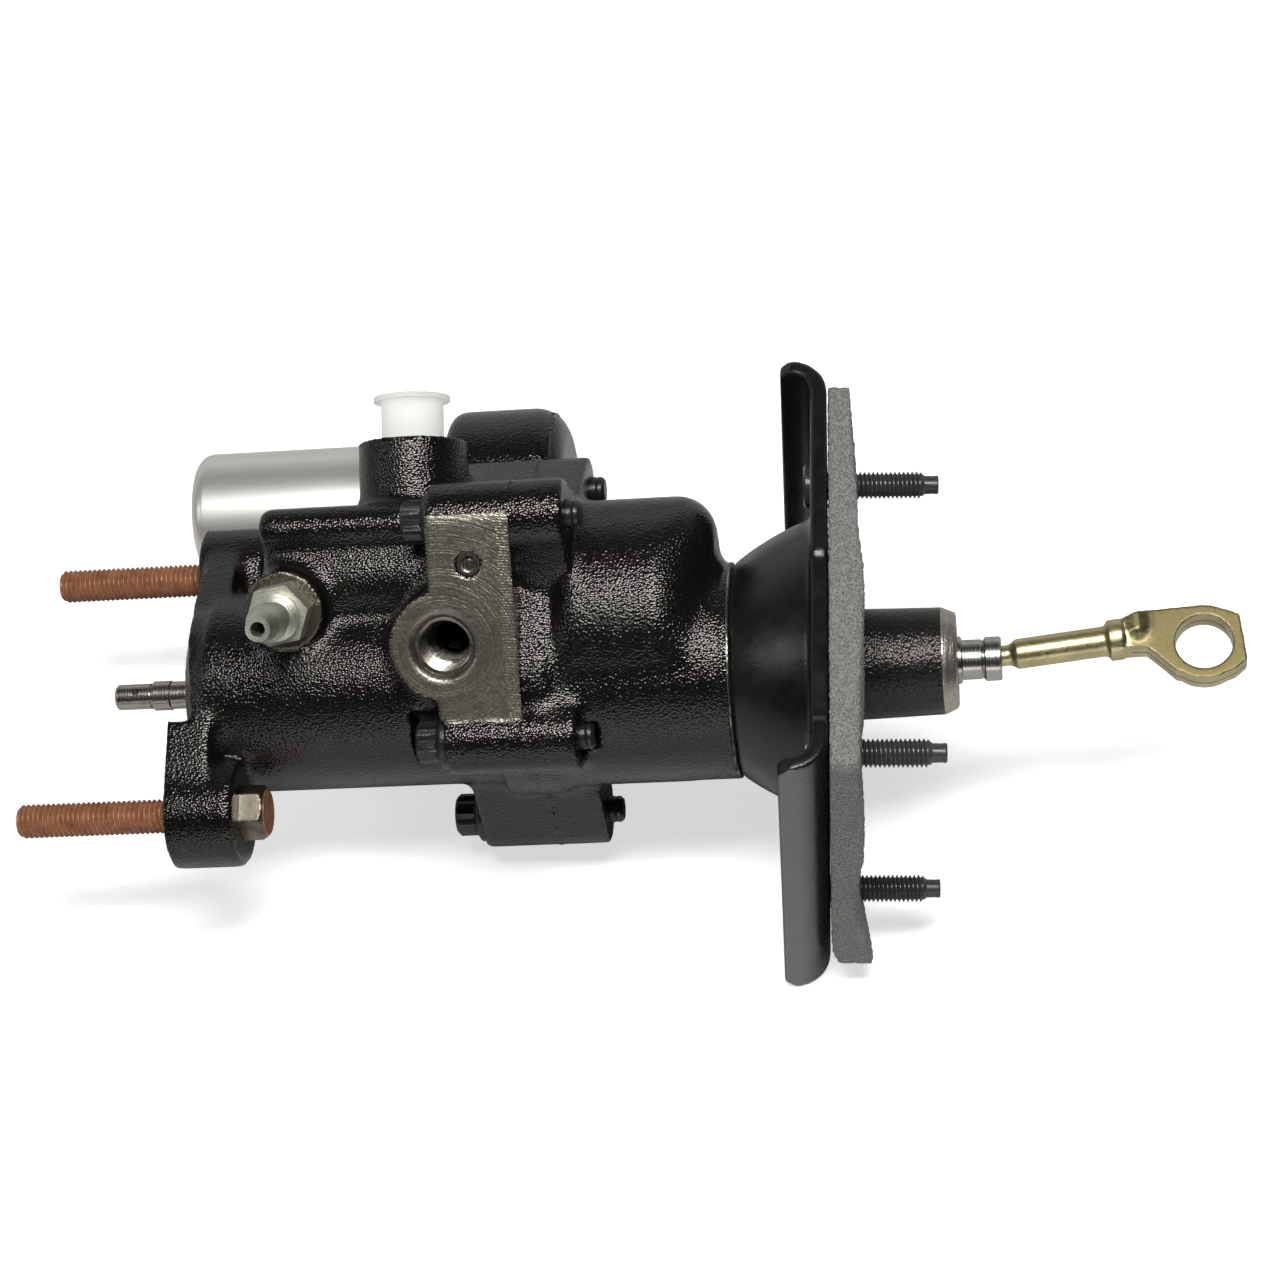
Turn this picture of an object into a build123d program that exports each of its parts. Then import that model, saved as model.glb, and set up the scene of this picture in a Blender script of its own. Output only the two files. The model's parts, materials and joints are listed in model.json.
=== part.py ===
from build123d import *
from math import acos, atan2, cos, hypot, pi, radians, sin
import os

# Hydraulic brake booster. Millimetres, +Z up.
# Row frame: +X runs along the firewall studs towards the pedal, the origin is the centre of the
# four studs on the face that meets the firewall. The booster itself is built around its own axis
# (also called X) and then set into that frame with a small upward lean towards the pedal.

# ---- how the booster sits in the bracket
LEAN = 3.9                   # degrees the booster's axis rises towards the pedal
AXIS_RISE = 11.4             # height of the axis over the studs' centre, at the firewall face
BOOSTER = Location((0, 0, AXIS_RISE), (0, -LEAN, 0))

# ---- stations along the booster's axis
FLANGE_FACE = -187.5         # pads where the master cylinder seats
FLANGE_WEB = -184.5          # flange between the pads, and the mouth of the main bore
FLANGE_BACK = -167.5
FITTING_X = -152.0
TOP_PORT_X = -118.0
LUG_FRONT = -106.5           # under the heads of the housing bolts
PORT_X = -104.9
SEAM = -84.0                 # joint between the two castings
SEAT_X = -179.0              # outer face of the return spring's seat
SPRING_CUP = -127.0          # floor of the piston's spring cup
PISTON_CUP = -124.0          # floor of the hole that holds the output rod
LUG_REAR = -69.0
CHAMBER_END = -33.0
NECK_END = -26.0             # the bracket's dish seats here
SNOUT_END = 37.0

# ---- directions across the axis, in degrees from +Y towards +Z
SPOOL_ANGLE = 45.0           # from the main bore to the spool bore
FACE_ANGLE = 135.0           # the way the machined face and the return fitting look
TOP_PORT_ANGLE = 30.0

# ---- bores and walls
BORE_R = 19.05
BODY_R = 29.6
BARREL_R = 31.5
NECK_R = 31.3
SPOOL_RISE = 32.0            # main bore to spool bore
SPOOL_BORE_R = 8.0
SPOOL_CAST_R = 20.0
FACE_HEIGHT = 36.0           # machined face above the main axis
RUN = 0.05                   # running clearance on a radius
AIR = 0.3                    # gap between pieces that pass each other

# ---- travel
STROKE = 30.0                # input rod
LOST = 2.0                   # input rod travel before it meets the piston
SPOOL_TRAVEL = 3.0

# ---- master cylinder bolts
MC_SPACING = 84.0
MC_LOBE_R = 15.3
MC_BOLT_R = 4.9
MC_TIP = -234.2
MC_KNURL_R = 5.1             # pressed-in part of the shank
NOTCH_Y = -22.5              # where the flange steps up to its lower lobe
BARB_R = 5.6                 # return hose nose

# ---- bolts between the castings
CASE_BOLT_R = 3.9
LUG_R = 10.0

# ---- accumulator
ACC_R = 20.0
ACC_Y = 78.4
ACC_Z = -16.1
ACC_START = -198.0
ACC_END = -121.0
ACC_WALL = 3.0

# ---- input rod, ball joint and pushrod
ROD_R = 5.75
NOSE_R = 4.5
TIP_R = 3.8                  # end of the output rod
OUTPUT_R = 4.1               # output rod behind its collar
TIP_X = -211.0
BALL_X = 44.0
BALL_R = 3.8
SHELL_R = 4.5
CUP_EDGE = 104.0             # degrees from the neck to the inner liner's rim
CUP_HOLE = 165.0             # and to the hole in its middle
PUSH_RISE = 3.26             # degrees the pushrod hangs up from the booster's axis
PUSH_SIDE = 4.68             # degrees it hangs towards +Y
EYE_ROLL = 13.0              # degrees the eye is rolled about the pushrod
EYE_HOLE_R = 8.0

# ---- bracket
STUD_Y = 92.0
STUD_Z = 73.0
STUD_R = 3.95
STUD_TIP = 32.0
PLATE_T = 4.8
PLATE_LOW_Y = -66.2
PLATE_HIGH_Y = 74.2
PLATE_HALF_Z = 60.0
EDGE_REACH = 13.5            # how far the plate's edges turn back
FOAM_T = 8.5
STUD_KNURL_R = 4.3           # pressed-in part of a stud
STUD_PLAY = 1.6              # foam stays clear of the studs
PLATE_CUT = 4.5              # corner cut off each turned-back edge
WIDE = 3 * PLATE_HIGH_Y      # wider than the plate

FLAT = (Align.CENTER, Align.CENTER, Align.MIN)
ACROSS = Plane(origin=(0, 0, 0), x_dir=(0, 1, 0), z_dir=(1, 0, 0))
LOOK = Plane(origin=(0, 0, 0), x_dir=(1, 0, 0), z_dir=(0, cos(radians(FACE_ANGLE)), sin(radians(FACE_ANGLE))))


# ---------------------------------------------------------------- small helpers
def polar(reach, angle):
    "Point (y, z) at a distance and angle from the main axis."
    return (reach * cos(radians(angle)), reach * sin(radians(angle)))


def spot(toward_spool, toward_face):
    "Point (y, z) measured along the spool direction and the machined face's direction."
    a = polar(toward_spool, SPOOL_ANGLE)
    b = polar(toward_face, FACE_ANGLE)
    return (a[0] + b[0], a[1] + b[1])


def bar(radius, start, end, at=(0, 0)):
    "Round bar along the booster's axis."
    return Pos(start, at[0], at[1]) * Rot(0, 90, 0) * Cylinder(radius, end - start, align=FLAT)


def soft_bar(radius, start, end, at, round_start, round_end):
    "Round bar along the axis with rounded ends."
    solid = bar(radius, start, end, at)
    rims = solid.edges().filter_by(GeomType.CIRCLE).sort_by(Axis.X)
    if round_start > 0:
        solid = fillet(rims[0], round_start)
        rims = solid.edges().filter_by(GeomType.CIRCLE).sort_by(Axis.X)
    if round_end > 0:
        solid = fillet(rims[-1], round_end)
    return solid


def spoke(radius, start, end, x, angle, at=(0, 0)):
    "Round bar standing out sideways from the line through at."
    turn = Pos(x, at[0], at[1]) * Rot(angle - 90, 0, 0)
    return turn * Pos(0, 0, start) * Cylinder(radius, end - start, align=FLAT)


def spoke_turned(points, x, angle, at=(0, 0)):
    "Turned shape standing out sideways; points are (distance out, radius)."
    outline = [(radius, out) for out, radius in points]
    face = make_face(Polyline(*outline, close=True))
    solid = revolve(Plane.XZ * face, Axis.Z)
    return Pos(x, at[0], at[1]) * Rot(angle - 90, 0, 0) * solid


def turned(points):
    "Turned shape around the booster's axis; points are (x, radius)."
    return revolve(make_face(Polyline(*points, close=True)), Axis.X)


def belt(r1, c1, r2, c2):
    "Outline of a belt around two circles, drawn across the axis."
    away = hypot(c2[0] - c1[0], c2[1] - c1[1])
    turn = atan2(c2[1] - c1[1], c2[0] - c1[0])
    lean = acos((r1 - r2) / away)

    def rim(radius, centre, angle):
        return (centre[0] + radius * cos(angle), centre[1] + radius * sin(angle))

    back = ThreePointArc(rim(r1, c1, turn + lean), rim(r1, c1, turn + pi), rim(r1, c1, turn - lean))
    low = Line(back @ 1, rim(r2, c2, turn - lean))
    front = ThreePointArc(low @ 1, rim(r2, c2, turn), rim(r2, c2, turn + lean))
    return make_face(back + low + front + Line(front @ 1, back @ 0))


def slab(outline, start, end, taper=0):
    "An outline across the axis, run from one station to another."
    return Pos(start, 0, 0) * extrude(ACROSS * outline, end - start, dir=(1, 0, 0), taper=taper)


def coil(start, end, radius, wire, turns, at=(0, 0)):
    "Compression spring along the axis."
    length = end - start - 2 * wire
    path = Helix(length / turns, length, radius)
    ring = Plane(path @ 0, z_dir=path % 0) * Circle(wire)
    return Pos(start + wire, at[0], at[1]) * Rot(0, 90, 0) * sweep(ring, path=path)


MAIN = (0.0, 0.0)
SPOOL = polar(SPOOL_RISE, SPOOL_ANGLE)
ACC = (ACC_Y, ACC_Z)
TOP_NEAR = spot(51, 25.5)
TOP_BACK = spot(51, -28)
LOW_NEAR = spot(-11.4, 28.6)
LOW = spot(-44.5, -20.5)
LOW_BACK = spot(-8, -40)
CASE_BOLTS = [TOP_NEAR, TOP_BACK, LOW_NEAR, LOW, LOW_BACK]
PORT_RISE = 16.9             # pressure port, along the spool direction
PLUG_RISE = 39.8             # small plug beside it
FITTING_RISE = 27.6


# ---------------------------------------------------------------- castings
def ears(start, end, radius, taper=0):
    "Lugs for the bolts between the castings, each blended towards its bore."
    solid = slab(belt(radius, TOP_NEAR, 20, SPOOL), start, end, taper)
    solid += slab(belt(radius, TOP_BACK, 20, SPOOL), start, end, taper)
    for at in [LOW_NEAR, LOW, LOW_BACK]:
        solid += slab(belt(radius, at, 22, MAIN), start, end, taper)
    return solid


def flange_relief():
    "Slanting relief of the flange's front between the lobes, outside the bore's collar."
    wedge = Pos(FLANGE_WEB + 1.75, 1.75, 0) * Rot(0, 0, 4.13) * Pos(-10, 0, 0) * Box(20, 48.5, 100)
    return wedge - bar(BORE_R + 3.4, FLANGE_WEB - 20, FLANGE_WEB + 20)


def master_cylinder_flange():
    "Two-lobed flange that carries the master cylinder, thicker towards its lower lobe."
    solid = bar(BODY_R - 2, FLANGE_WEB, FLANGE_BACK - 6)
    for side in (-1, 1):
        lobe = (side * MC_SPACING / 2, 0)
        solid += slab(belt(BODY_R - 3, MAIN, MC_LOBE_R - 1, lobe), FLANGE_WEB, FLANGE_BACK - 7)
    solid -= flange_relief()
    for side in (-1, 1):
        lobe = (side * MC_SPACING / 2, 0)
        solid += soft_bar(MC_LOBE_R, FLANGE_FACE, FLANGE_BACK, lobe, 0.8, 1.5)
    lower = slab(belt(BODY_R - 3, MAIN, MC_LOBE_R - 1, (-MC_SPACING / 2, 0)), FLANGE_FACE, FLANGE_WEB + 5)
    return solid + (lower & Pos(FLANGE_FACE, NOTCH_Y - 50, 0) * Box(40, 100, 100))


def machined_face_block():
    "Raised block with the bare face that holds the pressure port."
    outline = Pos(-96, 23.5) * Rectangle(24, 55) + Pos(PORT_X, PORT_RISE) * Circle(15.5)
    block = extrude(outline, FACE_HEIGHT + 4)
    return LOOK * block


def face_cut():
    "What the milling cutter takes off above the machined face, with its round run-out."
    cut = Pos(-107, 26.5) * Rectangle(46, 61)
    return LOOK * Pos(0, 0, FACE_HEIGHT) * extrude(cut, 30)


def front_outside():
    "Outside of the front casting."
    solid = bar(BODY_R, FLANGE_BACK - 10, SEAM)
    solid += slab(belt(23, MAIN, 17, SPOOL), -158, SEAM)
    solid += soft_bar(SPOOL_CAST_R, -160, SEAM, SPOOL, 6, 0)
    solid += soft_bar(6.3, -160, -112, (26.3, 42.7), 3, 0)
    solid += slab(belt(33.5, MAIN, 23, SPOOL), -93, SEAM)
    solid += ears(LUG_FRONT, SEAM, LUG_R)
    solid += bar(LUG_R + 0.5, LUG_FRONT - 1, SEAM, TOP_NEAR)
    solid += machined_face_block()
    solid += master_cylinder_flange()
    solid += spoke(11.5, 0, 26.5, FITTING_X, FACE_ANGLE, polar(FITTING_RISE, SPOOL_ANGLE))
    solid += spoke(16, 0, 38.8, TOP_PORT_X, TOP_PORT_ANGLE, SPOOL)
    solid += slab(belt(24, MAIN, 22, ACC), -112, -88)
    solid += soft_bar(28.8, -117, -80.5, ACC, 5, 10)
    return solid


def bolt_head_room(at, start, end, radius):
    "Spot face around one bolt between the castings."
    return bar(radius, start, end, at)


def front_housing():
    "Front casting: main bore, spool bore, ports and the accumulator's boss."
    solid = front_outside() - face_cut()
    for at in CASE_BOLTS:
        solid -= bolt_head_room(at, LUG_FRONT - 11, LUG_FRONT, 9.2)
        solid -= bar(CASE_BOLT_R + RUN, LUG_FRONT - 1, SEAM + 1, at)
    solid -= bar(BORE_R, FLANGE_FACE - 1, SEAM + 1)
    lead = [(FLANGE_WEB - 1, 0), (FLANGE_WEB - 1, BORE_R + 2), (FLANGE_WEB + 1, BORE_R), (FLANGE_WEB + 1, 0)]
    solid -= turned(lead)
    solid -= bar(BORE_R + 2.5, -133, -129)
    solid -= bar(BORE_R + 1.3, SEAT_X - 1.6, SEAT_X)
    solid -= bar(SPOOL_BORE_R, -161, SEAM + 1, SPOOL)
    solid -= bar(SPOOL_BORE_R + 0.9, -158.2, -157, SPOOL)
    for side in (-1, 1):
        solid -= bar(MC_KNURL_R, FLANGE_FACE - 1, FLANGE_BACK + 1, (side * MC_SPACING / 2, 0))
    solid -= pressure_port_cut()
    solid -= spoke(3.4, 29, FACE_HEIGHT + 1, -96.2, FACE_ANGLE, polar(PLUG_RISE, SPOOL_ANGLE))
    solid -= spoke(1.8, 0, 30, -96.2, FACE_ANGLE, polar(PLUG_RISE, SPOOL_ANGLE))
    solid -= spoke(5.5, 14, 27, FITTING_X, FACE_ANGLE, polar(FITTING_RISE, SPOOL_ANGLE))
    solid -= spoke(3, 2, 15, FITTING_X, FACE_ANGLE, polar(FITTING_RISE, SPOOL_ANGLE))
    solid -= spoke(9.1 + RUN, 25, 41, TOP_PORT_X, TOP_PORT_ANGLE, SPOOL)
    solid -= spoke(4, 6, 26, TOP_PORT_X, TOP_PORT_ANGLE, SPOOL)
    solid -= bar(9, -118, -104, ACC)
    solid -= bar(4, -105, -92, ACC)
    solid -= spoke(1.8, 0, 66, -96, 145.2, ACC)
    solid -= bar(LUG_R + 1, SEAM, -70, TOP_BACK)
    return solid


def pressure_port_cut():
    "Stepped, chamfered hole of the pressure port and the drilling from it to the spool bore."
    points = [(37, 0), (37, 9.9), (36, 9.7), (34.2, 8.2), (20, 8.2), (20, 4.15), (17.5, 4.15), (17.5, 0)]
    cut = spoke_turned(points, PORT_X, FACE_ANGLE, polar(PORT_RISE, SPOOL_ANGLE))
    return cut + spoke(1.8, 0, 22, PORT_X, SPOOL_ANGLE - 51.5, spot(PORT_RISE, 19))


def rear_outside():
    "Outside of the rear casting, down to the threaded snout."
    barrel = slab(belt(BARREL_R, MAIN, SPOOL_CAST_R - 0.7, SPOOL), SEAM, -30)
    end = barrel.faces().sort_by(Axis.X)[-1]
    solid = fillet(end.edges(), 11)
    solid += bar(NECK_R, -60, NECK_END)
    solid += slab(belt(33.5, MAIN, 23, SPOOL), SEAM, -77)
    solid += ears(SEAM, LUG_REAR, LUG_R)
    solid += bar(LUG_R + 0.5, SEAM, LUG_REAR, TOP_NEAR)
    snout = [(-40, 0), (-40, 19), (-9, 19), (-8, 16.4), (33, 15.4), (SNOUT_END, 13.6), (SNOUT_END, 0)]
    return solid + turned(snout)


def rear_housing():
    "Rear casting: lever chamber, neck and the snout the pedal rod comes through."
    solid = rear_outside()
    solid -= slab(belt(22, MAIN, 13.5, SPOOL), SEAM - 1, CHAMBER_END)
    solid -= slab(belt(26, MAIN, 17.5, SPOOL) - belt(24, MAIN, 15.5, SPOOL), SEAM - 1, SEAM + 2)
    bore = [(-34, 0), (-34, 9.5), (4, 9.5), (4, 8.4), (SNOUT_END + 1, 9.7), (SNOUT_END + 1, 0)]
    solid -= turned(bore)
    for at in CASE_BOLTS:
        solid -= bar(CASE_BOLT_R, SEAM - 1, LUG_REAR + 1, at)
        solid -= bolt_head_room(at, LUG_REAR, LUG_REAR + 5, CASE_BOLT_R + 0.5)
    return solid


def housing_seal():
    "Sealing cord in the rear casting's groove."
    return slab(belt(26, MAIN, 17.5, SPOOL) - belt(24, MAIN, 15.5, SPOOL), SEAM, SEAM + 2)


def housing_bolts():
    "Flange-head bolts that pull the castings together."
    bolts = []
    for at in CASE_BOLTS:
        bolt = bar(CASE_BOLT_R, LUG_FRONT, LUG_REAR + 4.2, at)
        bolt += bar(8.2, LUG_FRONT - 2, LUG_FRONT, at)
        head = bar(5.6, LUG_FRONT - 9, LUG_FRONT - 2, at)
        for step in range(6):
            y, z = polar(6.3, 60 * step)
            head -= bar(1.7, LUG_FRONT - 10, LUG_FRONT - 2, (at[0] + y, at[1] + z))
        bolts.append(bolt + head)
    return Compound(bolts)


# ---------------------------------------------------------------- outside fittings
def master_cylinder_bolts():
    "Two long hex bolts pointing out of the flange for the master cylinder."
    bolts = []
    for side in (-1, 1):
        at = (side * MC_SPACING / 2, 0)
        shank = bar(MC_BOLT_R, MC_TIP + 1.5, FLANGE_FACE, at) + bar(MC_KNURL_R, FLANGE_FACE, FLANGE_BACK, at)
        tip = Pos(MC_TIP, at[0], 0) * Rot(0, 90, 0) * Cone(3.9, MC_BOLT_R, 1.5, align=FLAT)
        hexagon = Pos(*at) * RegularPolygon(7, 6, major_radius=False, rotation=20)
        bolts.append(shank + tip + slab(hexagon, FLANGE_BACK, FLANGE_BACK + 7))
    return Compound(bolts)


def return_fitting():
    "Screwed-in return fitting: hex, collar and stepped hose nose with a through hole."
    at = polar(FITTING_RISE, SPOOL_ANGLE)
    nose = [(34, 0), (34, 6.9), (36.5, 6.9), (38, 4.7), (43.5, 4.7), (44.3, BARB_R), (47, BARB_R),
            (49, 4.5), (50.5, 4.2), (56, 3.5), (56, 0)]
    solid = spoke_turned(nose, FITTING_X, FACE_ANGLE, at)
    solid += spoke(5.5, 16, 26.5, FITTING_X, FACE_ANGLE, at)
    turn = Pos(FITTING_X, at[0], at[1]) * Rot(FACE_ANGLE - 90, 0, 0) * Pos(0, 0, 26.5)
    solid += turn * extrude(RegularPolygon(8, 6, major_radius=False, rotation=10), 7.5)
    return solid - spoke(2.1, 15, 57, FITTING_X, FACE_ANGLE, at)


def ball_plug():
    "Small cup plug that closes the drilling in the machined face."
    at = polar(PLUG_RISE, SPOOL_ANGLE)
    cup = [(30, 0), (30, 3.4), (35.2, 3.4), (35.2, 2.4), (33.5, 2.2), (33.5, 1.2), (34.4, 1), (34.4, 0)]
    return spoke_turned(cup, -96.2, FACE_ANGLE, at)


def shipping_plug():
    "Hollow flanged cap plug in the top port."
    cup = [(28, 0), (28, 8.6), (30, 9.1), (51.1, 9.1), (51.1, 11.2), (52.5, 11.2), (52.5, 8), (29.4, 7.6), (29.4, 0)]
    return spoke_turned(cup, TOP_PORT_X, TOP_PORT_ANGLE, SPOOL)


def accumulator_can():
    "Closed can of the accumulator."
    can = soft_bar(ACC_R, ACC_START, ACC_END, ACC, 4.4, 1)
    inside = soft_bar(ACC_R - ACC_WALL, ACC_START + ACC_WALL, ACC_END - 5, ACC, 2, 0)
    return can - inside - bar(ACC_R - 2, ACC_END - 6, ACC_END + 1, ACC)


def accumulator_base():
    "End plate of the accumulator with its threaded neck and oil hole."
    base = bar(ACC_R - 2, ACC_END - 6, ACC_END, ACC) + bar(9, ACC_END, -106, ACC)
    base += bar(11, ACC_END, -118.5, ACC)
    return base - bar(2.4, ACC_END - 7, -105, ACC)


def accumulator_base_seal():
    "Sealing ring under the accumulator's neck."
    return bar(12.5, -118.5, -117, ACC) - bar(9, -119, -116, ACC)


def accumulator_piston():
    "Piston between the gas and the oil, with a groove for its ring."
    piston = bar(ACC_R - ACC_WALL - RUN, -141, -128, ACC)
    piston -= bar(12.5, -142, -133, ACC)
    return piston - ring(ACC_R - ACC_WALL, 14.6, -136, -133)


def ring(outer, inner, start, end, at=None):
    "Plain ring along the axis, on the accumulator unless told otherwise."
    where = ACC if at is None else at
    return bar(outer, start, end, where) - bar(inner, start - 1, end + 1, where)


def accumulator_piston_ring():
    "Sealing ring in the accumulator piston's groove."
    return ring(ACC_R - ACC_WALL - RUN, 14.6, -136, -133)


def check_ball():
    "Ball of the accumulator's check valve."
    return Pos(-104.15, ACC_Y, ACC_Z) * Sphere(3.0)


def check_spring():
    "Spring behind the check ball."
    return coil(-101.1, -92, 2.8, 0.45, 4, ACC)


# ---------------------------------------------------------------- main bore
def power_piston():
    "Power piston: head with a spring cup, and a slotted tail for the lever's pin."
    solid = bar(BORE_R - RUN, -138, -96) + bar(8, -97, -34)
    solid -= ring(16.2, 8.5, -139, SPRING_CUP, MAIN)
    solid -= bar(OUTPUT_R, -139, PISTON_CUP)
    solid -= bar(NOSE_R + AIR, -40.5, -33)
    solid -= spoke(2, -9, 9, -46, FACE_ANGLE)
    return solid


def piston_seal():
    "Sealing ring of the power piston, held in the housing's groove."
    return ring(BORE_R + 2.5, BORE_R, -133, -129, MAIN)


def piston_return_spring():
    "Spring that pushes the power piston back."
    return coil(SEAT_X + 2.4, SPRING_CUP, 12.6, 1.4, 5, MAIN)


def spring_seat():
    "Plate that the piston's return spring pushes against."
    return ring(BORE_R - RUN, 6, SEAT_X, SEAT_X + 2.4, MAIN)


def seat_snap_ring():
    "Snap ring that holds the spring seat."
    return ring(BORE_R + 1.2, BORE_R - 1.8, SEAT_X - 1.6, SEAT_X, MAIN)


def output_rod():
    "Rod that pushes the master cylinder, with a pin hole near its tip."
    neck = TIP_X + 10.5
    points = [(TIP_X, 0), (TIP_X, TIP_R - 0.6), (TIP_X + 0.6, TIP_R), (neck, TIP_R), (neck, TIP_R - 0.5),
              (neck + 1, TIP_R - 0.5), (neck + 1, OUTPUT_R + 0.3), (neck + 6, OUTPUT_R + 0.3),
              (neck + 6.5, OUTPUT_R), (PISTON_CUP, OUTPUT_R), (PISTON_CUP, 0)]
    return turned(points) - spoke(1.0, -5, 5, TIP_X + 6.5, 100)


# ---------------------------------------------------------------- spool bore
def spool_sleeve():
    "Ported sleeve fixed in the spool bore."
    sleeve = ring(SPOOL_BORE_R, 5.5 + RUN, -146, -88, SPOOL)
    for x in (-140, TOP_PORT_X, -96.2):
        sleeve -= ring(SPOOL_BORE_R + 1, 6.8, x - 2, x + 2, SPOOL)
        sleeve -= spoke(1.5, -9, 9, x, SPOOL_ANGLE, SPOOL)
    return sleeve


def spool_valve():
    "Spool with lands, waists and a flat slotted tail."
    spool = bar(5.5, -143, -80, SPOOL)
    for start in (-134, -122, -110):
        spool -= ring(6, 3.6, start, start + 9, SPOOL)
    blade = Pos(-68, SPOOL_RISE + 0.7) * Rectangle(24, 13.6)
    slot = Pos(-60, SPOOL_RISE + 1.5) * Rectangle(4.6, 8)
    return spool + LOOK * Pos(0, 0, -2.5) * extrude(blade - slot, 5)


def spool_spring():
    "Spring that returns the spool."
    return coil(-152, -143, 3.6, 0.7, 4, SPOOL)


def spool_plug():
    "Plug in the end of the spool bore, with a groove for its seal."
    plug = bar(SPOOL_BORE_R, -157, -152, SPOOL)
    return plug - ring(SPOOL_BORE_R + 1, 6.4, -155.6, -153.6, SPOOL)


def spool_plug_seal():
    "Sealing ring in the spool plug's groove."
    return ring(SPOOL_BORE_R, 6.4, -155.6, -153.6, SPOOL)


def spool_snap_ring():
    "Snap ring that holds the spool plug."
    return ring(SPOOL_BORE_R + 0.8, 6, -158.2, -157, SPOOL)


# ---------------------------------------------------------------- lever
def lever():
    "Forked lever between the power piston's pin and the spool's slot."
    arm = belt(4.4, (-46, 0), 3.6, (-60, SPOOL_RISE)) - Pos(-46, 0) * Circle(2 + RUN)
    near = LOOK * Pos(0, 0, 8.6) * extrude(arm, 2.3)
    far = LOOK * Pos(0, 0, -10.9) * extrude(arm, 2.3)
    return near + far + spoke(2, -10.9, 10.9, -60, FACE_ANGLE, SPOOL)


def lever_pin():
    "Headed pin that joins the lever to the power piston."
    pin = spoke(2, -11, 11, -46, FACE_ANGLE)
    return pin + spoke(3, 11, 12, -46, FACE_ANGLE) + spoke(3, -12, -11, -46, FACE_ANGLE)


# ---------------------------------------------------------------- pedal side
def input_rod():
    "Input rod: nose, shaft, shoulder and the crimped socket for the pushrod's ball."
    points = [(-38.5, 0), (-38.5, NOSE_R), (-32, NOSE_R), (-32, ROD_R), (34.6, ROD_R), (35, 6.8),
              (38, 6.8), (38.4, ROD_R), (43.6, ROD_R), (44.2, 5.4), (45, 6.35), (49, 6.35),
              (49.5, 5.9), (49.5, 0)]
    solid = turned(points) - Pos(BALL_X, 0, 0) * Sphere(SHELL_R + RUN)
    return solid - turned([(46, 0), (46, 3.75), (49.6, 4.75), (49.6, 0)])


def rod_bushing():
    "Bushing that guides the input rod in the snout."
    return ring(9.5, ROD_R + RUN, -21, -1, MAIN)


def rod_seal():
    "Lip seal of the input rod."
    return ring(9.5, ROD_R + RUN, -31, -23, MAIN) - ring(8.2, 6.8, -32, -26, MAIN)


def ball_shell(first, last):
    "Part of the plastic liner around the pushrod's ball, between two angles from the rod's axis."
    def on(radius, angle):
        return (BALL_X + radius * cos(radians(angle)), radius * sin(radians(angle)))

    inner_r = BALL_R + RUN
    middle = (first + last) / 2
    outer = ThreePointArc(on(SHELL_R, first), on(SHELL_R, middle), on(SHELL_R, last))
    inner = ThreePointArc(on(inner_r, last), on(inner_r, middle), on(inner_r, first))
    return revolve(make_face(outer + Line(outer @ 1, inner @ 0) + inner + Line(inner @ 1, outer @ 0)), Axis.X)


def socket_liner_inner():
    "Inner half of the ball's liner."
    return ball_shell(CUP_EDGE, CUP_HOLE)


def socket_liner_outer():
    "Outer ring of the ball's liner, open for the neck."
    return ball_shell(62, 88)


def eye_outline():
    "Outline of the eye plate, seen along the hole."
    plate = Polygon((38, 4.3), (48, 6), (62.5, 5.3), (69.4, 3), (73, 0.9), (73, -12.7), (69.4, -15.2),
                    (62, -17), (53, -13.4), (50, -9.6), (46, -5), (38, -4.3), align=None)
    return plate + Pos(62, -5.8) * Circle(11.1)


def pushrod():
    "Pedal pushrod: ball, neck, shaft, collar and flat eye."
    points = [(0, 0), (0, 1.5), (1.5, 3.0), (8, 3.0), (9.8, 4.35), (35.5, 4.35), (36, 5.9), (40, 5.9),
              (40.5, 4.5), (47, 4.2), (47, 0)]
    solid = turned(points) + Sphere(BALL_R)
    eye = extrude(eye_outline(), 4.2, both=True)
    eye -= Pos(62, -5.8) * Cylinder(EYE_HOLE_R, 20)
    eye = Rot(EYE_ROLL, 0, 0) * eye
    return Pos(BALL_X, 0, 0) * Rot(0, -PUSH_RISE, PUSH_SIDE) * (solid + eye)


# ---------------------------------------------------------------- bracket, in the row frame
def dish():
    "Dished middle of the bracket, around the booster's axis."
    outer = Polyline((-26, 19.2), (-26, 30), (-24.6, 31.4))
    bulge = ThreePointArc((-24.6, 31.4), (-13.5, 38.2), (4, 44.6))
    side = Polyline((4, 44.6), (4, 40.2))
    hollow = ThreePointArc((4, 40.2), (-11, 34.6), (-21.2, 27.6))
    floor = Polyline((-21.2, 27.6), (-21.5, 27), (-21.5, 19.2), (-26, 19.2))
    return revolve(make_face(outer + bulge + side + hollow + floor), Axis.X)


def dish_hollow():
    "Space inside the dish."
    edge = ThreePointArc((4, 40.2), (-11, 34.6), (-21.2, 27.6))
    rest = Polyline((-21.2, 27.6), (-21.2, 0), (6, 0), (6, 40.2), (4, 40.2))
    return revolve(make_face(edge + rest), Axis.X)


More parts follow.
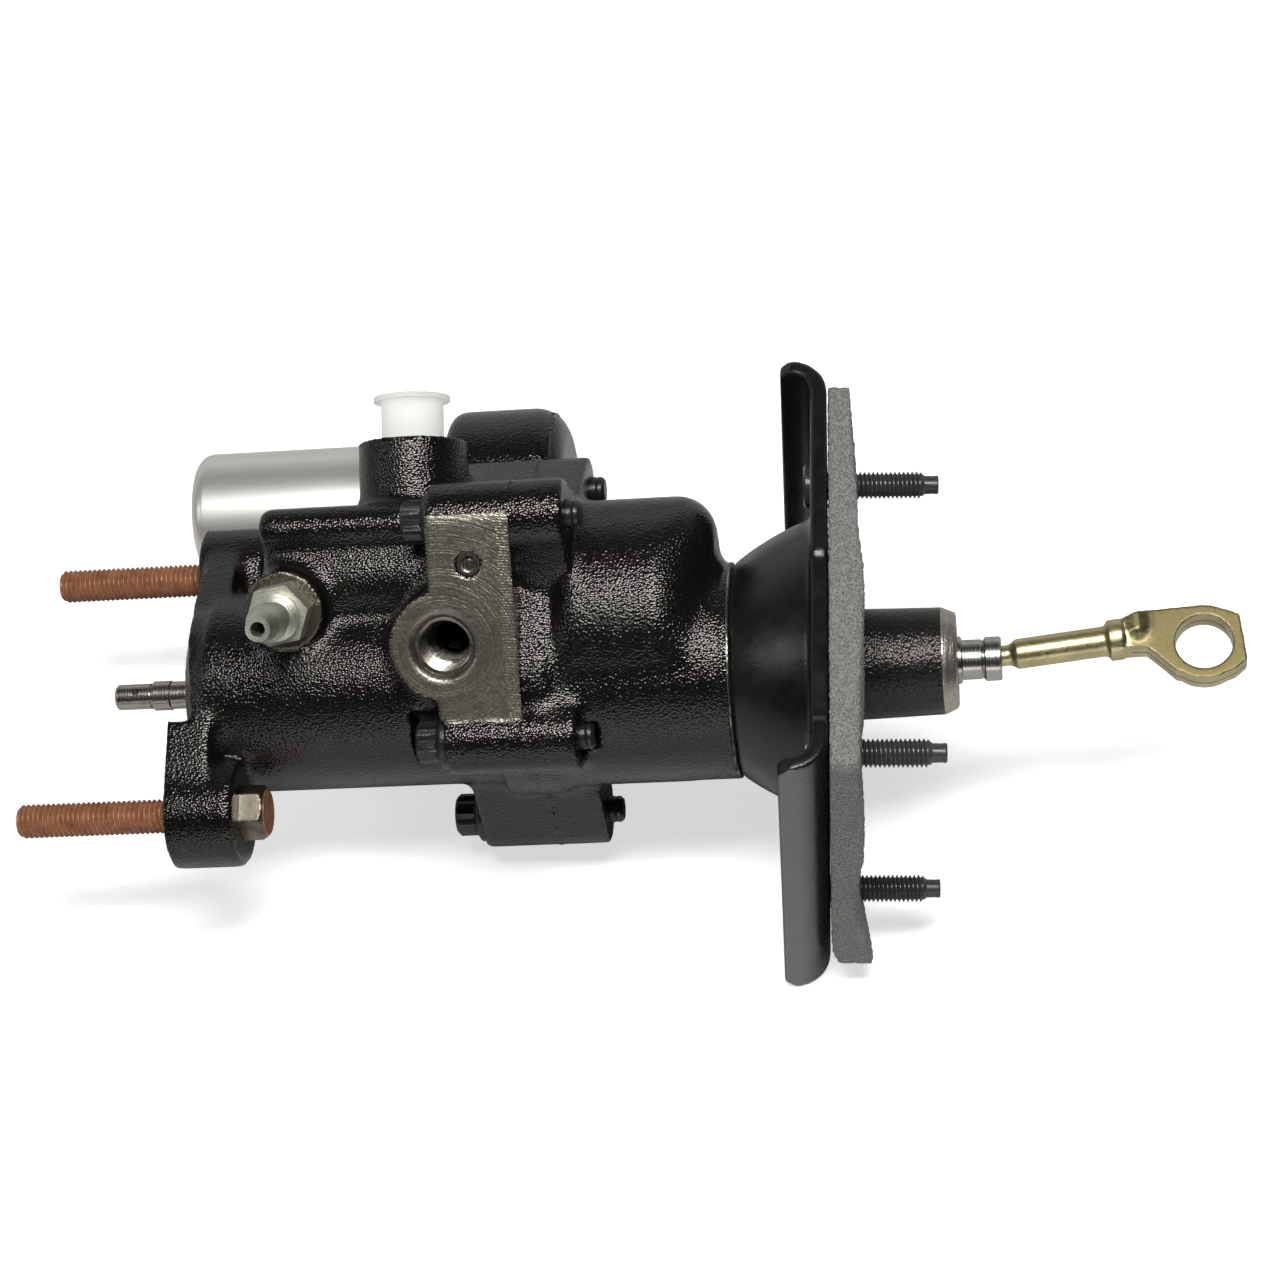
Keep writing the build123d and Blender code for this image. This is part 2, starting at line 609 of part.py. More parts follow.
def mounting_bracket():
    "Stamped bracket: plate with two turned-back edges and the dish for the booster."
    low = PLATE_LOW_Y
    high = PLATE_HIGH_Y
    t = PLATE_T
    front = Polyline((-EDGE_REACH, low), (-11, low)) + ThreePointArc((-11, low), (-3.2, low + 3.2), (0, low + 11))
    front += Line((0, low + 11), (0, high - 11))
    front += ThreePointArc((0, high - 11), (-3.2, high - 3.2), (-11, high))
    front += Polyline((-11, high), (-EDGE_REACH, high), (-EDGE_REACH, high - t), (-11, high - t))
    front += ThreePointArc((-11, high - t), (-t - 1.8, high - t - 1.8), (-t, high - 11))
    front += Line((-t, high - 11), (-t, low + 11))
    front += ThreePointArc((-t, low + 11), (-t - 1.8, low + t + 1.8), (-11, low + t))
    front += Polyline((-11, low + t), (-EDGE_REACH, low + t), (-EDGE_REACH, low))
    plate = Pos(0, 0, -PLATE_HALF_Z) * extrude(make_face(front), 2 * PLATE_HALF_Z, dir=(0, 0, 1))
    plate -= Pos(0, -22.5, PLATE_HALF_Z) * Box(20, 55, 2)
    for side in (-1, 1):
        corner = Pos(-EDGE_REACH, 0, side * PLATE_HALF_Z) * Rot(0, 45, 0) * Box(PLATE_CUT, WIDE, PLATE_CUT)
        plate -= corner
    plate -= BOOSTER * dish_hollow()
    cup = BOOSTER * dish() - Pos(20, 0, 0) * Box(40, WIDE, WIDE)
    solid = plate + cup
    for y in (-STUD_Y / 2, STUD_Y / 2):
        for z in (-STUD_Z / 2, STUD_Z / 2):
            solid -= bar(STUD_KNURL_R, -20, 5, (y, z))
    return solid


def bracket_studs():
    "Four pressed-in studs with dog points."
    studs = []
    for y in (-STUD_Y / 2, STUD_Y / 2):
        for z in (-STUD_Z / 2, STUD_Z / 2):
            stud = bar(STUD_R, 0, STUD_TIP - 4, (y, z)) + bar(STUD_KNURL_R, -PLATE_T, 0, (y, z))
            stud += bar(6.4, -PLATE_T - 2.2, -PLATE_T, (y, z))
            studs.append(stud + bar(2.5, STUD_TIP - 4.5, STUD_TIP, (y, z)))
    return Compound(studs)


def bracket_nut():
    "Large nut on the snout that clamps the dish."
    hexagon = RegularPolygon(23, 6, major_radius=False)
    return slab(hexagon - Circle(19), -21.5, -12.5)


def foam_gasket():
    "Soft sealing pad between the bracket and the firewall."
    pad = Pos(0, 5.2) * Rectangle(129.5, 110)
    pad = fillet(pad.vertices(), 2.5)
    for y in (-STUD_Y / 2, STUD_Y / 2):
        for z in (-STUD_Z / 2, STUD_Z / 2):
            pad -= Pos(y, z) * Circle(STUD_R + STUD_PLAY)
    pad -= Pos(0, AXIS_RISE) * Circle(17.5)
    return slab(pad, 0, FOAM_T)


# ---------------------------------------------------------------- write the pieces
IN_BOOSTER = [
    front_housing, rear_housing, housing_seal, housing_bolts, master_cylinder_bolts, return_fitting,
    ball_plug, shipping_plug, accumulator_can, accumulator_base, accumulator_base_seal,
    accumulator_piston, accumulator_piston_ring, check_ball, check_spring, power_piston, piston_seal,
    piston_return_spring, spring_seat, seat_snap_ring, output_rod, spool_sleeve, spool_valve,
    spool_spring, spool_plug, spool_plug_seal, spool_snap_ring, lever, lever_pin, input_rod,
    rod_bushing, rod_seal, socket_liner_inner, socket_liner_outer, pushrod, bracket_nut,
]
IN_ROW = [mounting_bracket, bracket_studs, foam_gasket]


def main():
    os.makedirs("parts", exist_ok=True)
    for make in IN_BOOSTER:
        export_step(BOOSTER * make(), "parts/" + make.__name__ + ".step")
    for make in IN_ROW:
        export_step(make(), "parts/" + make.__name__ + ".step")


main()
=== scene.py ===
"""Looks of the brake booster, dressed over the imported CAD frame."""
import json
import math

import bmesh
import bpy
import numpy as np
from mathutils import Matrix, Vector

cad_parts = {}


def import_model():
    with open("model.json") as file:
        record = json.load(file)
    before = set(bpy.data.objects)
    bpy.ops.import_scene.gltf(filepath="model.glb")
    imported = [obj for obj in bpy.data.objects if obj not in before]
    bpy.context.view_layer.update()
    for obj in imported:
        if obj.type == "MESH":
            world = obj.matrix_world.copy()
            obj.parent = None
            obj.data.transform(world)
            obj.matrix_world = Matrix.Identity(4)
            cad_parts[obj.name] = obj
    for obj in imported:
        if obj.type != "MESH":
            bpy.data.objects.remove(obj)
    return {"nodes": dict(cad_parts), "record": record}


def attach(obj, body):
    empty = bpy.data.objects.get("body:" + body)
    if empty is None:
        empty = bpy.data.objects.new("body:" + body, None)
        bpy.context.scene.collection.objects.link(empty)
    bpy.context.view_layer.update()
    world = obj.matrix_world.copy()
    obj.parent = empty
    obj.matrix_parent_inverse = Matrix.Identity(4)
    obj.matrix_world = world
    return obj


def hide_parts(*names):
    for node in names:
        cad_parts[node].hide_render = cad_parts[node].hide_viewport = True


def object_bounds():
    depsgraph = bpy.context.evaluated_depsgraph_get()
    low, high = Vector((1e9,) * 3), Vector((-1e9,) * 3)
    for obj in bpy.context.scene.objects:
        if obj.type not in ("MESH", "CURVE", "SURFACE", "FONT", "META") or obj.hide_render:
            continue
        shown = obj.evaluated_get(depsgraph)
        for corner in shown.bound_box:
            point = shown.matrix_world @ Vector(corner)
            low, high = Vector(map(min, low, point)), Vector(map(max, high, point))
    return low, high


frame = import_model()
cad_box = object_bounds()

MM = 0.001

# The booster's own frame: its axis is canted against the studs and passes above the middle of their pattern.
LEAN = math.radians(3.9)
RISE = 11.4 * MM
AXIS_X = Vector((math.cos(LEAN), 0, math.sin(LEAN)))
AXIS_Y = Vector((0, 1, 0))
AXIS_Z = Vector((-math.sin(LEAN), 0, math.cos(LEAN)))
ORIGIN = Vector((0, 0, RISE))
TURN = np.array([AXIS_X, AXIS_Y, AXIS_Z])
# Out of the machined face, and along it from the main bore toward the spool.
HALF = math.sqrt(0.5)
FACE_N = (-HALF * AXIS_Y + HALF * AXIS_Z)
FACE_M = (HALF * AXIS_Y + HALF * AXIS_Z)

# The pushrod's own frame, turned with the roll of its eye; the third row is the eye's flat face.
EYE_PITCH, EYE_YAW, EYE_ROLL = (math.radians(angle) for angle in (-3.26, 4.68, 13))
EYE_TURN = (Matrix.Rotation(-LEAN, 3, "Y") @ Matrix.Rotation(EYE_PITCH, 3, "Y")
            @ Matrix.Rotation(EYE_YAW, 3, "Z") @ Matrix.Rotation(EYE_ROLL, 3, "X")).transposed()


def at(x, y=0.0, z=0.0):
    """A point given in the booster's frame, in millimetres, as a point of the row frame in metres."""
    return ORIGIN + (AXIS_X * x + AXIS_Y * y + AXIS_Z * z) * MM


def across(reach, angle):
    """Y and Z of a point at a reach from the booster's axis, with its angle in degrees."""
    return (reach * math.cos(math.radians(angle)), reach * math.sin(math.radians(angle)))


def spot(along_spool, toward_face):
    """Y and Z of a point given along the line of the two bores and out toward the machined face."""
    a = across(along_spool, 45)
    b = across(toward_face, 135)
    return (a[0] + b[0], a[1] + b[1])


# ---------------------------------------------------------------- places, in the booster's frame, mm

FLANGE_FACE = -187.5
FLANGE_BACK = -167.5
LUG_FRONT = -106.5
SEAM = -84.0
LUG_REAR = -69.0
NECK_RING = (-26.5, -25.7)
SNOUT_END = 32.6
BALL_X = 44.0
EYE_ROOT = 41.0                     # from the ball's centre, along the pushrod
FACE_LEVEL = 36.0                   # levels are measured from the axis along FACE_WAY
FACE_START = -130.0
SEAT_LEVELS = (24.0, 28.6)
PASSAGE_LEVEL = 20.75
SEAT_R = 11.7                       # radii, as far as the metal is bare
PORT_R = 10.35
# PASSAGE_R and PASSAGE_LEVEL bound the painted shade at the foot of the port
PASSAGE_R = 5.3
COLLAR_R = 33.25
SNOUT_BORE_R = 11.75
PORT_X, PORT_RISE = -104.9, 16.9
FITTING_X, FITTING_RISE = -152.0, 27.6
PORT = (PORT_X, *spot(PORT_RISE, 0))
FITTING = (FITTING_X, *spot(FITTING_RISE, 0))
SPOOL = spot(32, 0)
TOP_PORT = (-118.0, *SPOOL)
LONG_X = (1, 0, 0)
TOP_WAY = (0, *across(1, 30))
FACE_WAY = (0, *across(1, 135))
ACC = (78.4, -16.1)
MC_REACH = 42.0
CASE_BOLTS = [spot(51, 25.5), spot(51, -28), spot(-11.4, 28.6), spot(-44.5, -20.5), spot(-8, -40)]
STUD_Y = 46.0
STUD_Z = 36.5


# ---------------------------------------------------------------- node helpers

class Paint:
    """A short way to write a node material; sizes inside it are in metres, and dot() gives mm."""

    def __init__(self, name):
        self.material = bpy.data.materials.new(name)
        self.material.use_nodes = True
        self.tree = self.material.node_tree
        self.nodes = self.tree.nodes
        self.shader = self.nodes["Principled BSDF"]
        self.coords = self.nodes.new("ShaderNodeTexCoord").outputs["Object"]

    def link(self, a, b):
        self.tree.links.new(a, b)

    def put(self, socket, value):
        if isinstance(value, bpy.types.NodeSocket):
            self.link(value, socket)
        else:
            socket.default_value = value

    def set(self, **values):
        """Sets or links inputs of the shader, named with _ for a space."""
        for key, value in values.items():
            self.put(self.shader.inputs[key.replace("_", " ")], value)

    def noise(self, scale, detail=3.0, rough=0.5, vector=None):
        n = self.nodes.new("ShaderNodeTexNoise")
        n.inputs["Scale"].default_value = scale
        n.inputs["Detail"].default_value = detail
        n.inputs["Roughness"].default_value = rough
        self.link(vector or self.coords, n.inputs["Vector"])
        return n.outputs["Fac"]

    def cells(self, scale):
        """Distance from the middle of the nearest of many scattered cells."""
        n = self.nodes.new("ShaderNodeTexVoronoi")
        n.inputs["Scale"].default_value = scale
        self.link(self.coords, n.inputs["Vector"])
        return n.outputs["Distance"]

    def lines(self, far, pitch, detail=2.0, rough=0.6):
        """Parallel lines at a pitch, in mm, that follow one coordinate."""
        n = self.nodes.new("ShaderNodeCombineXYZ")
        self.link(self.times(far, 1 / pitch), n.inputs[0])
        return self.noise(1.0, detail, rough, n.outputs[0])

    def math(self, op, a, b=0.0):
        n = self.nodes.new("ShaderNodeMath")
        n.operation = op
        self.put(n.inputs[0], a)
        self.put(n.inputs[1], b)
        return n.outputs[0]

    def times(self, a, b):
        return self.math("MULTIPLY", a, b)

    def plus(self, a, b):
        return self.math("ADD", a, b)

    def most(self, first, *others):
        """The largest of several values."""
        for other in others:
            first = self.math("MAXIMUM", first, other)
        return first

    def ramp(self, value, low, high, low_to=0.0, high_to=1.0):
        """Maps low to high onto low_to to high_to, and holds the ends."""
        n = self.nodes.new("ShaderNodeMapRange")
        self.put(n.inputs["Value"], value)
        for key, number in (("From Min", low), ("From Max", high), ("To Min", low_to), ("To Max", high_to)):
            n.inputs[key].default_value = number
        return n.outputs["Result"]

    def mix(self, fac, a, b):
        """From colour a to colour b."""
        n = self.nodes.new("ShaderNodeMix")
        n.data_type = "RGBA"
        self.put(n.inputs[0], fac)
        for socket, value in ((n.inputs[6], a), (n.inputs[7], b)):
            self.put(socket, value if isinstance(value, bpy.types.NodeSocket) else (*value[:3], 1.0))
        return n.outputs[2]

    def blend(self, fac, a, b):
        """From number a to number b."""
        n = self.nodes.new("ShaderNodeMix")
        n.data_type = "FLOAT"
        self.put(n.inputs[0], fac)
        self.put(n.inputs[2], a)
        self.put(n.inputs[3], b)
        return n.outputs[0]

    def dot(self, direction):
        """How far the point lies along a direction of the row frame, from the booster's origin, in mm."""
        n = self.nodes.new("ShaderNodeVectorMath")
        n.operation = "DOT_PRODUCT"
        self.link(self.coords, n.inputs[0])
        n.inputs[1].default_value = tuple(Vector(direction) * 1000)
        return self.math("SUBTRACT", n.outputs["Value"], Vector(direction).dot(ORIGIN) * 1000)

    def normal_dot(self, direction):
        """1 where the surface faces a direction, 0 where it faces across it."""
        n = self.nodes.new("ShaderNodeVectorMath")
        n.operation = "DOT_PRODUCT"
        g = self.nodes.new("ShaderNodeNewGeometry")
        self.link(g.outputs["True Normal"], n.inputs[0])
        n.inputs[1].default_value = tuple(direction)
        return n.outputs["Value"]

    def inside(self, value, limit, soft):
        """1 below a limit, 0 above it."""
        return self.ramp(value, limit - soft, limit + soft, 1.0, 0.0)

    def band(self, value, low, high, soft=0.15):
        """1 between low and high, 0 outside."""
        up = self.ramp(value, low - soft, low + soft)
        return self.times(up, self.inside(value, high, soft))

    def squared(self, value, middle):
        return self.math("POWER", self.math("ABSOLUTE", self.math("SUBTRACT", value, middle)), 2.0)

    def distance(self, one, two, middle_one=0, middle_two=0):
        """Distance from a middle, of two coordinates at right angles."""
        return self.math("POWER", self.plus(self.squared(one, middle_one), self.squared(two, middle_two)), 0.5)

    def bump(self, height, distance, strength=1.0, after=None):
        n = self.nodes.new("ShaderNodeBump")
        n.inputs["Distance"].default_value = distance
        self.put(n.inputs["Strength"], strength)
        self.link(height, n.inputs["Height"])
        if after:
            self.link(after, n.inputs["Normal"])
        return n.outputs["Normal"]

    def normal(self, value):
        self.link(value, self.shader.inputs["Normal"])


# ---------------------------------------------------------------- materials

def black_cast():
    """Glossy black paint over rough castings, with the machined places bare."""
    p = Paint("black_cast")
    # each grain of the sand mould is a small round dimple under the paint, which gives a glint of its own
    dimples = p.math("POWER", p.cells(1450), 2.0)
    paint_bump = p.bump(dimples, 0.00015, 1.0)
    paint_bump = p.bump(p.noise(400, 1, 0.5), 0.0003, 0.3, after=paint_bump)
    along = p.dot(AXIS_X)
    out = p.dot(FACE_N)
    m = p.dot(FACE_M)
    radius = p.distance(out, m)
    from_seat = p.distance(along, m, FITTING_X, FITTING_RISE)
    from_port = p.distance(along, m, PORT_X, PORT_RISE)
    # the bare machined face, the seat of the return fitting, the port, the ring at the neck and the snout's end
    facing = p.normal_dot(FACE_N)
    face = p.times(p.band(out, FACE_LEVEL - 0.4, FACE_LEVEL + 0.4, 0.1), p.ramp(facing, 0.9, 0.97))
    face = p.times(face, p.band(along, FACE_START, SEAM + 0.1, 0.05))
    seat = p.times(p.band(out, *SEAT_LEVELS, 0.2), p.ramp(facing, 0.8, 0.95))
    seat = p.times(seat, p.inside(from_seat, SEAT_R, 0.2))
    port = p.times(p.inside(from_port, PORT_R, 0.15), p.band(out, 10, FACE_LEVEL + 0.4, 0.1))
    collar = p.times(p.band(along, *NECK_RING, 0.1), p.inside(radius, COLLAR_R, 0.25))
    bore = p.times(p.band(along, -40, 40), p.inside(radius, SNOUT_BORE_R, 0.15))
    end = p.most(p.ramp(along, SNOUT_END, SNOUT_END + 0.3), bore)
    bare = p.most(face, seat, collar, end, port)
    # milling arcs about the port, with coarser scallops along the face's far edge and a grain over both
    marks = p.lines(p.plus(from_port, p.times(p.noise(90, 2), 0.5)), 1 / 1.3)
    scallops = p.math("SINE", p.times(p.plus(m, p.times(along, 0.1)), 8.0))
    strip = p.times(face, p.ramp(along, -88.4, -87.4))
    marks = p.plus(marks, p.times(p.times(scallops, strip), 0.11))
    marks = p.plus(marks, p.ramp(p.noise(1100, 2), 0.3, 0.7, -0.16, 0.16))
    marks = p.ramp(marks, 0.15, 0.85)
    stain = p.ramp(p.noise(130, 4), 0.35, 0.7)
    metal = p.mix(marks, (0.145, 0.136, 0.105), (0.43, 0.40, 0.325))
    metal = p.mix(p.times(stain, 0.6), metal, (0.13, 0.12, 0.095))
    turned = p.mix(marks, (0.30, 0.28, 0.24), (0.62, 0.60, 0.53))
    metal = p.mix(p.most(end, collar, port), metal, turned)
    # painted shade: the inside of the port is darkened over half way toward near black, for the shade of its threads
    metal = p.mix(p.times(port, 0.55), metal, (0.06, 0.056, 0.045))
    # painted shade: the passage at the foot of the port is painted nearly black, as a deeper hole in shadow would
    # look
    foot = p.times(p.inside(from_port, PASSAGE_R, 0.3), p.inside(out, PASSAGE_LEVEL, 0.75))
    metal = p.mix(foot, metal, (0.01, 0.009, 0.008))
    metal = p.mix(p.times(seat, 0.55), metal, (0.05, 0.045, 0.03))
    black = p.mix(p.noise(60, 2), (0.0038, 0.0033, 0.0031), (0.0075, 0.0065, 0.006))
    # the paint on the snout is duller
    gloss = p.ramp(p.noise(300, 2), 0.3, 0.7, 0.13, 0.20)
    gloss = p.blend(p.ramp(along, -5, 5), gloss, 0.3)
    p.set(Base_Color=p.mix(bare, black, metal), Metallic=bare, Roughness=p.blend(bare, gloss, 0.40),
          Specular_Tint=(1.0, 0.94, 0.91, 1.0))
    n = p.nodes.new("ShaderNodeMix")
    n.data_type = "VECTOR"
    p.link(bare, n.inputs[0])
    p.link(paint_bump, n.inputs[4])
    p.link(p.bump(marks, 0.0002, 0.6), n.inputs[5])
    p.normal(n.outputs[1])
    return p.material


def turned_steel(name, low, high, rough=0.3, pitch=0.35, dull=(0.2, 0.19, 0.17)):
    """Bare metal with fine lines round the booster's axis, and dull spots."""
    p = Paint(name)
    lines = p.lines(p.dot(AXIS_X), pitch)
    spots = p.ramp(p.noise(240, 4, 0.6), 0.5, 0.75)
    colour = p.mix(lines, low, high)
    colour = p.mix(p.times(spots, 0.5), colour, dull)
    p.set(Base_Color=colour, Metallic=1.0, Roughness=p.ramp(lines, 0.3, 0.7, rough - 0.08, rough + 0.1))
    p.normal(p.bump(lines, 0.00008, 0.5))
    return p.material


def plated(name, low, high, rough, grain=700, bump=0.00015, eye=0.0):
    """Plated metal; eye is the station along the pushrod from which its flat sides are duller."""
    p = Paint(name)
    cloud = p.noise(90, 4, 0.6)
    fine = p.noise(grain, 3, 0.6)
    colour = p.mix(p.ramp(cloud, 0.3, 0.7), low, high)
    gloss = p.ramp(fine, 0.3, 0.7, rough - 0.07, rough + 0.1)
    if eye:
        there = p.ramp(p.dot(EYE_TURN[0]), eye, eye + 1)
        flat = p.times(there, p.ramp(p.normal_dot(EYE_TURN[2]), 0.93, 0.985))
        colour = p.mix(flat, colour, p.mix(fine, (0.10, 0.082, 0.034), (0.22, 0.185, 0.09)))
        gloss = p.blend(flat, gloss, 0.5)
        # the line where the eye's two layers meet
        middle = p.dot(EYE_TURN[2])
        offset = (AXIS_X * BALL_X).dot(EYE_TURN[2])
        joint = p.times(there, p.band(middle, offset - 0.3, offset + 0.3, 0.1))
        colour = p.mix(joint, colour, (0.10, 0.08, 0.03))
    p.set(Base_Color=colour, Metallic=1.0, Roughness=gloss)
    p.normal(p.bump(fine, bump, 0.5))
    return p.material


def rubber(name, dark=0.012, light=0.03):
    """Soft matt grey between two tones."""
    p = Paint(name)
    cloud = p.noise(400, 3)
    p.set(Base_Color=p.mix(cloud, (dark,) * 3, (light,) * 3), Roughness=p.ramp(cloud, 0.3, 0.7, 0.5, 0.7))
    p.normal(p.bump(p.noise(2500, 2), 0.0001, 0.3))
    return p.material


def black_paint(name, dark, light, rough, bump, painted_sheen=0.0):
    """Smooth black paint; its last argument paints a pale sheen on what faces -Y near the front, a painted
    reflection of the pale floor.
    """
    p = Paint(name)
    cloud = p.noise(45, 3)
    grain = p.noise(2200, 2)
    colour = p.mix(cloud, (dark, dark, dark * 1.06), (light, light, light * 1.06))
    if painted_sheen:
        # painted reflection: faces near the front that look toward -Y are lightened toward a pale grey
        near = p.ramp(p.dot((0, 1, 0)), -66, -52, 1.0, 0.0)
        facing = p.times(p.ramp(p.normal_dot((0, -1, 0)), 0.75, 0.97), near)
        colour = p.mix(facing, colour, (painted_sheen, painted_sheen, painted_sheen * 1.05))
    p.set(Base_Color=colour, Roughness=p.ramp(p.noise(160, 3), 0.3, 0.7, rough - 0.06, rough + 0.08))
    p.normal(p.bump(grain, bump, 0.5))
    return p.material


def clear_plastic():
    """Milky plastic that lets light through, with a faint painted glow."""
    p = Paint("clear_plastic")
    cloud = p.noise(160, 2)
    # painted light: a faint white emission brightens the plug, though it is no lamp
    p.set(Base_Color=p.mix(cloud, (0.93, 0.93, 0.91), (0.98, 0.98, 0.96)), Roughness=0.5,
          Transmission_Weight=0.85, IOR=1.15, Emission_Color=(1.0, 1.0, 0.98, 1.0), Emission_Strength=0.06)
    p.normal(p.bump(p.noise(500, 2), 0.0001, 0.2))
    return p.material


def can_silver():
    """Pale brushed coat of the accumulator can."""
    p = Paint("silver_can")
    lines = p.lines(p.dot(AXIS_X), 1 / 3, 3, 0.7)
    p.set(Base_Color=p.mix(lines, (0.78, 0.77, 0.735), (0.84, 0.83, 0.795)), Metallic=0.85,
          Roughness=p.ramp(lines, 0.3, 0.7, 0.38, 0.44))
    p.normal(p.bump(p.noise(900, 2), 0.00003, 0.4))
    return p.material


def orange_coat():
    """Worn orange coat of the long bolts, which are bare zinc from the flange's face to the ends of the heads."""
    p = Paint("orange_coat")
    cloud = p.noise(260, 4, 0.6)
    worn = p.ramp(p.noise(900, 3), 0.55, 0.72)
    coat = p.mix(p.ramp(cloud, 0.3, 0.7), (0.24, 0.095, 0.042), (0.44, 0.195, 0.10))
    coat = p.mix(p.times(worn, 0.5), coat, (0.45, 0.33, 0.25))
    zinc = p.mix(p.ramp(cloud, 0.3, 0.7), (0.12, 0.105, 0.08), (0.27, 0.24, 0.19))
    flats = p.band(p.dot(AXIS_X), FLANGE_FACE + 1.5, -160.72, 0.12)
    p.set(Base_Color=p.mix(flats, coat, zinc), Roughness=p.ramp(cloud, 0.3, 0.7, 0.34, 0.5),
          Metallic=p.blend(flats, 0.25, 1.0))
    p.normal(p.bump(p.noise(1800, 2), 0.0001, 0.4))
    return p.material


def foam():
    """Grey foam with open pores of two sizes."""
    p = Paint("grey_foam")
    pores = p.cells(1400)
    small = p.cells(3000)
    cloud = p.noise(70, 3)
    shade = p.plus(p.times(pores, 0.6), p.times(small, 0.4))
    colour = p.mix(p.ramp(shade, 0.15, 0.65), (0.055, 0.053, 0.05), (0.32, 0.31, 0.295))
    p.set(Base_Color=p.mix(p.times(cloud, 0.3), colour, (0.25, 0.24, 0.23)), Roughness=0.7)
    p.normal(p.bump(shade, 0.0012, 0.8))
    return p.material


# the material of each slot
MATERIALS = {
    "black_cast": black_cast(),
    "black_rubber": rubber("black_rubber"),
    "black_steel": black_paint("black_steel", 0.008, 0.018, 0.30, 0.0002),
    "zinc_plate": plated("zinc_plate", (0.46, 0.46, 0.38), (0.68, 0.68, 0.58), 0.46, 1500, 0.0002),
    "dark_steel": turned_steel("dark_steel", (0.26, 0.245, 0.215), (0.62, 0.59, 0.52), 0.26),
    "clear_plastic": clear_plastic(),
    "silver_can": can_silver(),
    "plain_steel": turned_steel("plain_steel", (0.32, 0.31, 0.28), (0.62, 0.60, 0.56), 0.24),
    "plain_aluminium": turned_steel("plain_aluminium", (0.5, 0.5, 0.5), (0.7, 0.7, 0.7), 0.3),
    "bronze": turned_steel("bronze", (0.36, 0.24, 0.10), (0.55, 0.4, 0.2), 0.3),
    "white_plastic": rubber("white_plastic", 0.6, 0.75),
    "gold_zinc": plated("gold_zinc", (0.44, 0.38, 0.20), (0.66, 0.59, 0.34), 0.34, 1400, 0.00005, BALL_X + EYE_ROOT),
    # the bracket's last number is the level of its painted reflection on the faces toward -Y
    "black_bracket": black_paint("black_bracket", 0.003, 0.006, 0.30, 0.0001, 0.14),
    "black_stud": black_paint("black_stud", 0.03, 0.06, 0.30, 0.0001),
    "coated_bolt": orange_coat(),
    "grey_foam": foam(),
    "port_steel": plated("port_steel", (0.19, 0.18, 0.15), (0.38, 0.36, 0.31), 0.32, 900, 0.00008),
}
SLOTS = {s["node"]: s["material_slot"] for s in frame["record"]["subparts"]}
for node, thing in frame["nodes"].items():
    things = thing if isinstance(thing, (list, tuple)) else [thing]
    for one in things:
        one.data.materials.clear()
        one.data.materials.append(MATERIALS[SLOTS[node]])


# ---------------------------------------------------------------- sculpting helpers

def link(thing):
    bpy.context.collection.objects.link(thing)
    return thing


def new_piece(name, mesh, slot, body="booster", sharp=40):
    """A dressed piece made from a mesh."""
    thing = link(bpy.data.objects.new(name, mesh))
    dress(thing, slot, body, sharp)
    return thing


def dress(thing, slot, body="booster", sharp=40):
    """The slot's material, shading and body of a piece."""
    mesh = thing.data
    mesh.materials.clear()
    mesh.materials.append(MATERIALS[slot])
    mesh.polygons.foreach_set("use_smooth", [True] * len(mesh.polygons))
    mesh.set_sharp_from_angle(angle=math.radians(sharp))
    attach(thing, body)


def points_of(mesh):
    flat = np.empty(len(mesh.vertices) * 3)
    mesh.vertices.foreach_get("co", flat)
    return flat.reshape(-1, 3)


def put_points(mesh, points):
    mesh.vertices.foreach_set("co", points.ravel())
    mesh.update()


def to_booster(points):
    """Row frame in metres to the booster's frame in millimetres."""
    return (points - np.array(ORIGIN)) @ TURN.T * 1000


def to_row(points):
    """The booster's frame in millimetres to the row frame in metres."""
    return points @ TURN * MM + np.array(ORIGIN)


def netted(node, name, voxel_mm):
    """A copy of a CAD node's surface as an even net of small faces."""
    thing = link(bpy.data.objects.new(name, frame["nodes"][node].data.copy()))
    net = thing.modifiers.new("net", "REMESH")
    net.mode = "VOXEL"
    net.voxel_size = voxel_mm * MM
    bpy.context.view_layer.update()
    mesh = bpy.data.meshes.new_from_object(thing.evaluated_get(bpy.context.evaluated_depsgraph_get()))
    thing.modifiers.clear()
    thing.data = mesh
    mesh.name = name
    return thing


def melt(thing, keep, rounds, concave=0.5, convex=0.04, settle=4):
    """Fills inner corners as a casting does, rounds the outer ones a little, and leaves what keep() names."""
    mesh = thing.data
    points = points_of(mesh)
    ends = np.empty(len(mesh.edges) * 2, dtype=np.int64)
    mesh.edges.foreach_get("vertices", ends)
    a, b = ends.reshape(-1, 2).T
    total = len(points)
    around = np.bincount(ends, minlength=total)[:, None]
    free = 1.0 - keep(to_booster(points))
    normals = np.empty(total * 3)
    for turn in range(settle + rounds):
        if turn % 6 == 0:
            put_points(mesh, points)
            mesh.vertices.foreach_get("normal", normals)
        mean = np.stack([np.bincount(a, points[b, k], total) + np.bincount(b, points[a, k], total)
                         for k in range(3)], axis=1) / around
        pull = mean - points
        outward = np.einsum("ij,ij->i", pull, normals.reshape(-1, 3))
        rate = np.where(outward > 0, concave, convex if turn >= settle else 0.4)
        points += pull * (rate * free)[:, None]
    put_points(mesh, points)


def near_line(p, through, direction):
    """Distance of points from a line, in the booster's frame."""
    away = p - np.array(through)
    along = np.array(direction) / np.linalg.norm(direction)
    return np.linalg.norm(away - np.outer(away @ along, along), axis=1)


